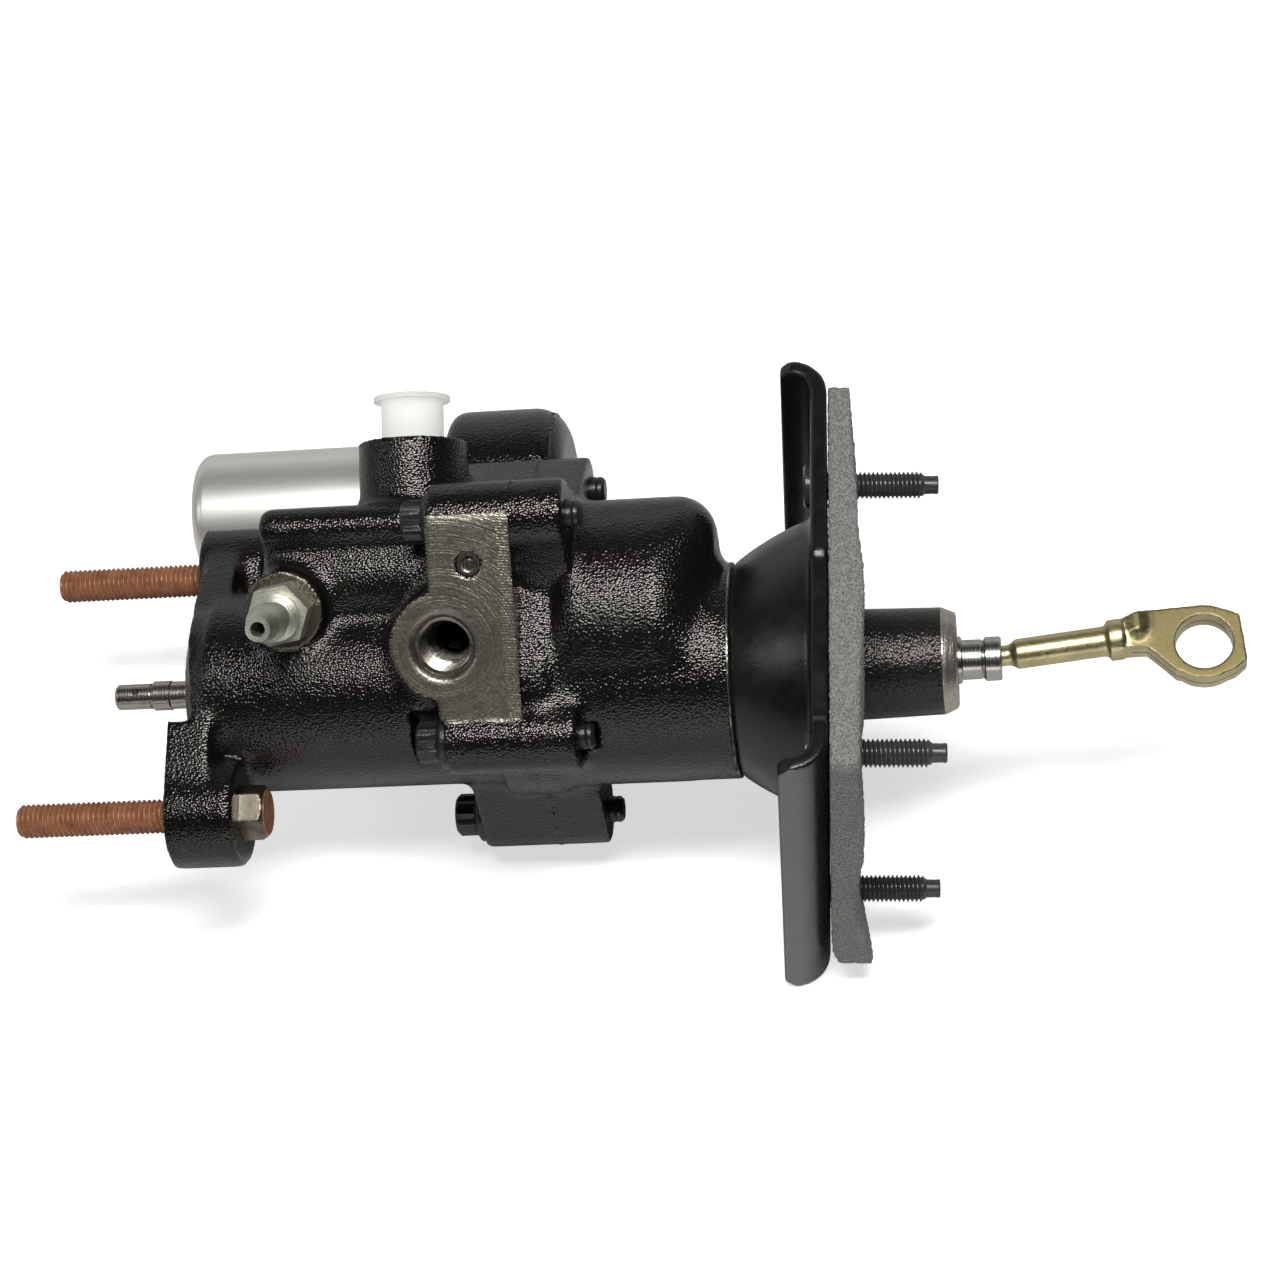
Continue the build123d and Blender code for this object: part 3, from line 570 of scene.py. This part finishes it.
def revolved(name, profile, count=64):
    """Mesh of a (station, radius) profile turned about the X axis, in mm."""
    rings = []
    verts = []
    faces = []
    for x, r in profile:
        ring = []
        for k in range(count if r > 1e-6 else 1):
            angle = 2 * math.pi * k / count
            ring.append(len(verts))
            verts.append((x, r * math.cos(angle), r * math.sin(angle)))
        rings.append(ring)
    for one, two in zip(rings, rings[1:]):
        for k in range(count):
            quad = [one[k % len(one)], one[(k + 1) % len(one)], two[(k + 1) % len(two)], two[k % len(two)]]
            face = list(dict.fromkeys(quad))
            if len(face) > 2:
                faces.append(face)
    mesh = bpy.data.meshes.new(name)
    mesh.from_pydata(verts, [], faces)
    return mesh


def place(mesh, matrix):
    """Moves a mesh built in mm to its place, in metres."""
    mesh.transform(Matrix.Scale(MM, 4))
    mesh.transform(matrix)
    mesh.validate()
    bm = bmesh.new()
    bm.from_mesh(mesh)
    bmesh.ops.recalc_face_normals(bm, faces=bm.faces)
    bm.to_mesh(mesh)
    bm.free()
    return mesh


def in_booster(x=0.0, y=0.0, z=0.0, turn=None):
    """Matrix from a piece's own frame, set at a point of the booster's frame, to the row frame."""
    m = Matrix.Translation(at(x, y, z)) @ Matrix((AXIS_X, AXIS_Y, AXIS_Z)).transposed().to_4x4()
    return m @ turn if turn else m


def joined(name, *meshes):
    """Several meshes as one."""
    bm = bmesh.new()
    for mesh in meshes:
        bm.from_mesh(mesh)
        bpy.data.meshes.remove(mesh)
    mesh = bpy.data.meshes.new(name)
    bm.to_mesh(mesh)
    bm.free()
    return mesh


THREAD_DEPTH = 0.6134               # shares of the pitch
THREAD_CREST = 0.0625
THREAD_FLANK = 0.3125


def screw(name, start, end, radius, pitch, limit, around=40, rows=8, shell=0):
    """Threaded rod from start to end along X, in mm. limit(x) is the most that the radius may be there.

    With a shell radius it is the lining of a threaded hole instead, closed by a tube of that radius.
    """
    deep = THREAD_DEPTH * pitch

    def height(x, turn):
        phase = (x / pitch - turn) % 1.0
        off = abs(phase - 0.5)
        return radius - deep * min(1.0, max(0.0, (off - THREAD_CREST) / THREAD_FLANK))

    count = int((end - start) / pitch * rows) + rows
    verts = []
    for row in range(-rows, count + 1):
        for k in range(around):
            turn = k / around
            x = min(end, max(start, start + (row / rows + turn) * pitch))
            angle = 2 * math.pi * turn
            r = min(height(x, turn), limit(x))
            verts.append((x, r * math.cos(angle), r * math.sin(angle)))
    total = count + 1 + rows
    faces = []
    for row in range(total - 1):
        for k in range(around - 1):
            n = row * around + k
            faces.append((n, n + 1, n + around + 1, n + around))
    # the rows climb one pitch a turn, so the seam joins each row to the one a pitch further on
    for row in range(total - 1 - rows):
        n = row * around + around - 1
        m = (row + rows) * around
        faces.append((n, m, m + around, n + around))
    if shell:
        first = len(verts)
        for x in (start, end):
            for k in range(around):
                angle = 2 * math.pi * k / around
                verts.append((x, shell * math.cos(angle), shell * math.sin(angle)))
        last = (total - 1) * around
        for k in range(around):
            n = (k + 1) % around
            faces.append((k, n, first + n, first + k))
            faces.append((last + k, last + n, first + around + n, first + around + k))
            faces.append((first + k, first + n, first + around + n, first + around + k))
    mesh = bpy.data.meshes.new(name)
    mesh.from_pydata(verts, [], faces)
    bm = bmesh.new()
    bm.from_mesh(mesh)
    bmesh.ops.remove_doubles(bm, verts=bm.verts, dist=0.002)
    bmesh.ops.dissolve_degenerate(bm, edges=bm.edges, dist=0.001)
    bmesh.ops.holes_fill(bm, edges=[e for e in bm.edges if len(e.link_faces) == 1], sides=0)
    bm.to_mesh(mesh)
    bm.free()
    return mesh


# ---------------------------------------------------------------- castings

def bolt_spots(p, radius):
    """Where points lie nearer than a radius to one of the bolts between the castings."""
    return np.any([near_line(p, (0, y, z), LONG_X) < radius for y, z in CASE_BOLTS], axis=0)


def from_bores(p, wall):
    """How far points lie outside a wall round the main bore and the spool bore, which is thinner at the spool."""
    spool = np.array(SPOOL)
    share = np.clip(p[:, 1:] @ spool / (spool @ spool), 0, 1)
    return np.linalg.norm(p[:, 1:] - np.outer(share, spool), axis=1) - (wall - 9 * share)


def keep_front(p):
    """Machined parts of the front casting, which stay crisp."""
    x = p[:, 0]
    up = p @ np.array(FACE_WAY)
    top = (p - np.array(TOP_PORT)) @ np.array(TOP_WAY)
    kept = (x > SEAM - 0.9) | (np.hypot(p[:, 1], p[:, 2]) < 20.9) | (x < FLANGE_FACE + 0.8)
    kept |= (up > FACE_LEVEL - 0.7) & (x > -125)
    kept |= bolt_spots(p, 9.6) & (x > LUG_FRONT - 12) & (x < LUG_FRONT + 0.6)
    # holes and their seats: how near the axis, and where along it
    for through, way, reach, where in (
            (PORT, FACE_WAY, 10.6, up > 15),
            (FITTING, FACE_WAY, 11.8, up > 24.8),
            ((0, *SPOOL), LONG_X, 9.8, True),
            (TOP_PORT, TOP_WAY, 10.4, top > 5),
            (TOP_PORT, TOP_WAY, 16.5, top > 38.0),
            ((0, *ACC), LONG_X, 18.6, x < -103),
            ((0, -MC_REACH, 0), LONG_X, 6.0, True),
            ((0, MC_REACH, 0), LONG_X, 6.0, True)):
        kept |= (near_line(p, through, way) < reach) & where
    return kept.astype(float)


def keep_rear(p):
    """Machined parts and the chamber of the rear casting, which stay as they are."""
    x = p[:, 0]
    radius = np.hypot(p[:, 1], p[:, 2])
    kept = (x < SEAM + 0.9) | (x > SNOUT_END - 1.1) | ((from_bores(p, 23) < 0) & (x < -32))
    kept |= radius < 10.4
    kept |= (x > -28.2) & (x < -24) & (radius > 19.5)
    kept |= bolt_spots(p, 5.2) & (x > LUG_REAR - 0.8) & (x < LUG_REAR + 6)
    return kept.astype(float)


def fuller(p):
    """Rounds out the near side of the rear casting between its two bores, by up to 6 mm."""
    x = p[:, 0]
    full_radius = 32.5
    away = p[:, 1:] - np.array(across(17.5, 45))
    far = np.linalg.norm(away, axis=1)
    angle = np.degrees(np.arctan2(away[:, 1], away[:, 0]))
    # eased in behind the seam and out before the neck
    ends = np.clip((x + 78) / 9, 0, 1) * np.clip((-31 - x) / 16, 0, 1)
    ends = ends * ends * (3 - 2 * ends)
    near_side = (from_bores(p, 26) > 0) & (angle > 45) & (angle < 170)
    push = 0.8 * np.maximum(0, full_radius - far) * ends * near_side
    p[:, 1:] += away / far[:, None] * push[:, None]
    return p


def square_edge(thing):
    """Brings the outer edges at the seam back to where the net of faces rounded them off."""
    mesh = thing.data
    p = to_booster(points_of(mesh))
    normals = np.empty(len(mesh.vertices) * 3)
    mesh.vertices.foreach_get("normal", normals)
    n = normals.reshape(-1, 3) @ TURN.T
    sideways = np.hypot(n[:, 1], n[:, 2])
    near = (np.abs(p[:, 0] - SEAM) < 0.5) & (sideways > 0.3) & (np.abs(n[:, 0]) > 0.3)
    out = n[:, 1:] / np.maximum(sideways, 1e-6)[:, None]
    rounded_off = 0.3
    p[near, 1:] += out[near] * rounded_off
    p[near, 0] = SEAM
    put_points(mesh, to_row(p))


def castings():
    """Both castings, with the inner corners that sand leaves."""
    for node, keep in (("front_housing", keep_front), ("rear_housing", keep_rear)):
        thing = netted(node, node + "_cast", 0.8)
        if node == "rear_housing":
            put_points(thing.data, to_row(fuller(to_booster(points_of(thing.data)))))
        melt(thing, keep, 60)
        square_edge(thing)
        dress(thing, "black_cast", sharp=50)
        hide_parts(node)


# ---------------------------------------------------------------- fasteners

def cone_end(tip, radius_at_tip, slope):
    """Limit of a radius that opens from a tip."""
    return lambda x: radius_at_tip + abs(x - tip) * slope


def bracket_studs():
    """Four studs with dog points, their heads on the booster's side of the bracket."""
    end = 28.0
    rods = []
    for y in (-STUD_Y, STUD_Y):
        for z in (-STUD_Z, STUD_Z):
            thread = screw("thread", 0, end, 3.98, 1.25, lambda x: min(9, 2.75 + (end - x) * 0.85))
            dog = revolved("dog", [(end - 0.4, 0), (end - 0.4, 2.7), (30.6, 2.6), (31.6, 2.75),
                                   (32, 2.45), (32, 0)], 40)
            head = revolved("head", [(-7, 0), (-7, 5.4), (-6.3, 6.4), (-4.8, 6.4),
                                     (-4.8, 4.1), (0.2, 4.1), (0.2, 0)], 40)
            for mesh in (thread, dog, head):
                rods.append(place(mesh, Matrix.Translation(Vector((0, y, z)) * MM)))
    thing = new_piece("studs", joined("studs", *rods), "black_stud")
    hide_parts("bracket_studs")


def around_mesh(name, stations, radius, count=96):
    """Mesh whose radius is a function of station and of angle in degrees, closed by flat ends."""
    verts = []
    for x in stations:
        for k in range(count):
            angle = 360 * k / count
            r = radius(x, angle)
            verts.append((x, r * math.cos(math.radians(angle)), r * math.sin(math.radians(angle))))
    faces = []
    for row in range(len(stations) - 1):
        for k in range(count):
            n = (k + 1) % count
            faces.append((row * count + k, row * count + n, (row + 1) * count + n, (row + 1) * count + k))
    last = (len(stations) - 1) * count
    faces.append(tuple(range(count - 1, -1, -1)))
    faces.append(tuple(range(last, last + count)))
    mesh = bpy.data.meshes.new(name)
    mesh.from_pydata(verts, [], faces)
    return mesh


def hexagon(apothem, corner):
    """Radius of a hexagon at an angle, with one of its corners at a given angle."""
    return lambda angle: apothem / math.cos(math.radians((angle - corner) % 60 - 30))


def master_cylinder_bolts():
    """Two long bolts through the flange, threaded to their tips, with hex heads behind it."""
    tip = -234.2
    chamfer = -161.2
    parts = []
    flat = hexagon(7.0, 20)
    for side in (-1, 1):
        thread = screw("thread", tip, FLANGE_FACE + 1, 4.98, 1.5, cone_end(tip, 3.9, 0.9), around=48)
        head = around_mesh("head", [FLANGE_BACK, -162.4, -162.0, -161.6, chamfer, -160.8, -160.5],
                           lambda x, a: min(flat(a), 7.25 + (chamfer - x) * 1.2 if x > -162.5 else 9), 120)
        dish = revolved("dish", [(-161, 0), (-161, 6.3), (-160.45, 6.1), (-160.45, 0)], 60)
        for mesh in (thread, head, dish):
            parts.append(place(mesh, in_booster(0, side * MC_REACH, 0)))
    thing = new_piece("flange_bolts", joined("flange_bolts", *parts), "coated_bolt", sharp=32)
    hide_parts("master_cylinder_bolts")


def twelve_points(point, angle):
    """Radius of a twelve-point head with its points at a radius."""
    off = abs((angle + 15) % 30 - 15)
    return point * math.cos(math.radians(30)) / math.cos(math.radians(30 - off))


def housing_bolts():
    """Five flange-head bolts between the castings, with tips that stand free behind the rear lugs."""
    parts = []
    front = LUG_FRONT - 2
    top = LUG_FRONT - 9
    end = LUG_REAR + 4.2
    for y, z in CASE_BOLTS:
        collar = revolved("collar", [(top + 4, 0), (front - 1.6, 5.6), (front - 0.6, 6.6), (front + 0.2, 7.9),
                                     (front + 0.7, 8.2), (LUG_FRONT, 8.2), (LUG_FRONT, 0)], 48)
        stations = [top, top + 0.5, top + 1.0, front - 0.4]
        head = around_mesh("head", stations, lambda x, a: min(twelve_points(6.35, a), 5.1 + (x - top) * 1.3), 144)
        tail = revolved("tail", [(LUG_REAR - 0.6, 0), (LUG_REAR - 0.6, 3.95), (LUG_REAR + 1.5, 3.95),
                                 (LUG_REAR + 1.9, 3.7), (LUG_REAR + 2.3, 3.95), (end - 0.9, 3.9),
                                 (end, 3.1), (end, 0)], 40)
        for mesh in (collar, head, tail):
            parts.append(place(mesh, in_booster(0, y, z)))
    thing = new_piece("case_bolts", joined("case_bolts", *parts), "black_steel", sharp=30)
    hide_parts("housing_bolts")


# ---------------------------------------------------------------- foam pad

FOAM_THICK = 8.5
FOAM_TOP = 55.0                     # Z of the pad's upper edge
FOAM_NEAR = -59.5                   # Y of its near edge
# How far the far face leaves its plane along the upper edge (Y, shift) and along the near edge (Z, shift).
TOP_WAVE = ([-60, -48, -9, 0, 13, 36, 47, 63, 70], [-0.2, 0.3, 1.8, 1.4, 0.2, -0.5, -1.0, -1.8, -2.6])
NEAR_WAVE = ([-55, -51, -39, -28, -21, -6, 8, 21, 38, 45, 50, 56],
             [4.2, 3.8, 2.2, 0.3, -0.7, -0.4, 0.5, 1.0, 1.7, 1.2, -0.2, -0.2])


def foam_pad():
    """Foam with a wavy far face and open pores, drawn in round each stud."""
    thing = netted("foam_gasket", "foam_pad", 0.9)
    mesh = thing.data
    p = points_of(mesh) * 1000
    x, y, z = p.T
    depth = np.clip(x / FOAM_THICK, 0, 1)
    top = np.interp(y, *TOP_WAVE)
    near = np.interp(z, *NEAR_WAVE)
    top_share = np.exp(-(FOAM_TOP - z) / 22)
    near_share = np.exp(-(y - FOAM_NEAR) / 20)
    corner = np.clip((-z - 36) / 19, 0, 1) ** 2 * np.clip((-y - 30) / 26, 0, 1)
    shift = depth * (top * top_share + near * near_share) / np.maximum(1, top_share + near_share)
    shift += (1 - depth) * (4.0 * corner + 0.25)
    wave = 0.5 * np.sin(y * 0.09 + 1) * np.sin(z * 0.11)
    p[:, 0] += shift + depth * wave
    for sy in (-STUD_Y, STUD_Y):
        for sz in (-STUD_Z, STUD_Z):
            dy, dz = y - sy, z - sz
            r = np.hypot(dy, dz)
            # all of it at the hole's own radius of 5.55 mm, none from 10.5 mm on
            pull = np.clip((10.5 - r) / 4.95, 0, 1)
            squeeze = 1 - 1.3 * pull / np.maximum(r, 1e-6)
            p[:, 1] = np.where(pull > 0, sy + dy * squeeze, p[:, 1])
            p[:, 2] = np.where(pull > 0, sz + dz * squeeze, p[:, 2])
            p[:, 0] -= depth * pull * 0.6
    put_points(mesh, p / 1000)
    pores = bpy.data.textures.new("pores", "VORONOI")
    pores.noise_scale = 0.0014
    rough = thing.modifiers.new("rough", "DISPLACE")
    rough.texture = pores
    rough.texture_coords = "LOCAL"
    rough.strength = 0.0007
    rough.mid_level = 0.75
    dress(thing, "grey_foam", sharp=180)
    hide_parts("foam_gasket")


# ---------------------------------------------------------------- port thread, bracket, pushrod

def port_thread():
    """Thread in the wall of the pressure port."""
    thread = screw("port_thread", 21.0, 34.0, 8.15, 1.5, lambda x: 9, around=48, shell=8.4)
    out = Vector(FACE_WAY)
    side = Vector(LONG_X)
    turn = Matrix((out, side, out.cross(side))).transposed().to_4x4()
    new_piece("port_thread", place(thread, in_booster(*PORT, turn)), "port_steel")


def bracket():
    """Bracket with the soft edges of a stamping."""
    thing = netted("mounting_bracket", "bracket", 0.7)
    melt(thing, lambda p: np.zeros(len(p)), 4, concave=0.4, convex=0.1, settle=5)
    dress(thing, "black_bracket", sharp=50)
    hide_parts("mounting_bracket")


def fold(thing):
    """The lump that the pressing leaves at the root of the eye."""
    turn = np.array(EYE_TURN)
    ball = np.array(at(BALL_X))
    local = (points_of(thing.data) - ball) @ turn.T * 1000
    x, y, z = local.T
    height, middle, width = 2.1, 44.4, 2.7
    lump = height * np.exp(-((x - middle) / width) ** 2)
    local[:, 2] += lump * np.clip((y + 3.5) / 4, 0, 1) * np.clip((z - 1) / 3, 0, 1)
    put_points(thing.data, local / 1000 @ turn + ball)


def pushrod():
    """Pushrod with soft edges on its collar and eye; the ball end stays as it is."""
    thing = netted("pushrod", "pedal_rod", 0.3)
    fold(thing)
    melt(thing, lambda p: (p[:, 0] < 50).astype(float), 30, concave=0.5, convex=0.06)
    dress(thing, "gold_zinc", body="pushrod", sharp=50)
    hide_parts("pushrod")


castings()
bracket_studs()
master_cylinder_bolts()
housing_bolts()
foam_pad()
port_thread()
bracket()
pushrod()


# ---------------------------------------------------------------- floor, light, camera

def floor():
    """White floor under the part."""
    low = cad_box[0][2]
    half = 3
    mesh = bpy.data.meshes.new("floor")
    corners = [(-half, -half, low), (half, -half, low), (half, half, low), (-half, half, low)]
    mesh.from_pydata(corners, [], [(0, 1, 2, 3)])
    thing = link(bpy.data.objects.new("floor", mesh))
    m = bpy.data.materials.new("floor")
    m.use_nodes = True
    t = m.node_tree
    t.nodes.clear()
    out = t.nodes.new("ShaderNodeOutputMaterial")
    diffuse = t.nodes.new("ShaderNodeBsdfDiffuse")
    # paler to the camera than in the gloss of the part, as in a cut-out picture
    tone = t.nodes.new("ShaderNodeMapRange")
    for key, number in (("To Min", 0.86), ("To Max", 0.64)):
        tone.inputs[key].default_value = number
    t.links.new(tone.outputs["Result"], diffuse.inputs["Color"])
    glow = t.nodes.new("ShaderNodeEmission")
    path = t.nodes.new("ShaderNodeLightPath")
    add = t.nodes.new("ShaderNodeAddShader")
    t.links.new(path.outputs["Is Glossy Ray"], tone.inputs["Value"])
    # a glow that only the camera sees
    level = t.nodes.new("ShaderNodeMath")
    level.operation = "MULTIPLY"
    level.inputs[1].default_value = 0.62
    t.links.new(path.outputs["Is Camera Ray"], level.inputs[0])
    t.links.new(level.outputs[0], glow.inputs["Strength"])
    t.links.new(diffuse.outputs[0], add.inputs[0])
    t.links.new(glow.outputs[0], add.inputs[1])
    t.links.new(add.outputs[0], out.inputs["Surface"])
    mesh.materials.append(m)


def world():
    """White all round for the camera; for light, dark where the camera's dark room would be and pale elsewhere."""
    w = bpy.data.worlds.new("studio")
    bpy.context.scene.world = w
    w.use_nodes = True
    t = w.node_tree
    back = t.nodes["Background"]
    back.inputs["Color"].default_value = (1, 1, 1, 1)
    path = t.nodes.new("ShaderNodeLightPath")
    seen = t.nodes.new("ShaderNodeMath")
    seen.operation = "MAXIMUM"
    t.links.new(path.outputs["Is Camera Ray"], seen.inputs[0])
    t.links.new(path.outputs["Is Transmission Ray"], seen.inputs[1])
    way = t.nodes.new("ShaderNodeTexCoord")
    room = t.nodes.new("ShaderNodeVectorMath")
    room.operation = "DOT_PRODUCT"
    room.inputs[1].default_value = (0.07, -0.57, 0.82)
    t.links.new(way.outputs["Generated"], room.inputs[0])
    fade = t.nodes.new("ShaderNodeMapRange")
    fade.interpolation_type = "SMOOTHSTEP"
    for key, number in (("From Min", -0.6), ("From Max", 0.35), ("To Min", 0.75), ("To Max", 0.015)):
        fade.inputs[key].default_value = number
    t.links.new(room.outputs["Value"], fade.inputs["Value"])
    level = t.nodes.new("ShaderNodeMix")
    level.data_type = "FLOAT"
    t.links.new(seen.outputs[0], level.inputs[0])
    t.links.new(fade.outputs["Result"], level.inputs[2])
    level.inputs[3].default_value = 1.0
    t.links.new(level.outputs[0], back.inputs["Strength"])


def lamp(name, where, target, size, watts):
    """A rectangular lamp that looks at a target."""
    data = bpy.data.lights.new(name, "AREA")
    data.shape = "RECTANGLE"
    data.size, data.size_y = size
    data.energy = watts
    thing = link(bpy.data.objects.new(name, data))
    thing.location = where
    thing.rotation_euler = (Vector(target) - Vector(where)).to_track_quat("-Z", "Y").to_euler()


def camera():
    """The camera that fits the part's studs, bolts, castings, foam and eye."""
    data = bpy.data.cameras.new("camera")
    data.lens = 80.44
    data.sensor_width = 36
    data.clip_start = 0.01
    thing = link(bpy.data.objects.new("camera", data))
    look = Vector((-0.06836, 0.57194, -0.81746)).normalized()
    right = Vector((0.99768, 0.03351, -0.05998)).normalized()
    up = right.cross(look)
    m = Matrix((right, up, -look)).transposed().to_4x4()
    m.translation = Vector((0.002177, -0.466276, 0.691523))
    thing.matrix_world = m
    bpy.context.scene.camera = thing


floor()
world()
MIDDLE = (-0.06, 0, 0)
lamp("key", (-0.02, -0.15, 0.95), MIDDLE, (0.60, 0.18), 9.5)
lamp("front", (-0.1, -1.0, 0.05), MIDDLE, (0.9, 0.3), 1.6)
lamp("left", (-0.95, -0.2, 0.6), MIDDLE, (0.2, 0.25), 1)
camera()
bpy.context.scene.view_settings.view_transform = "Standard"
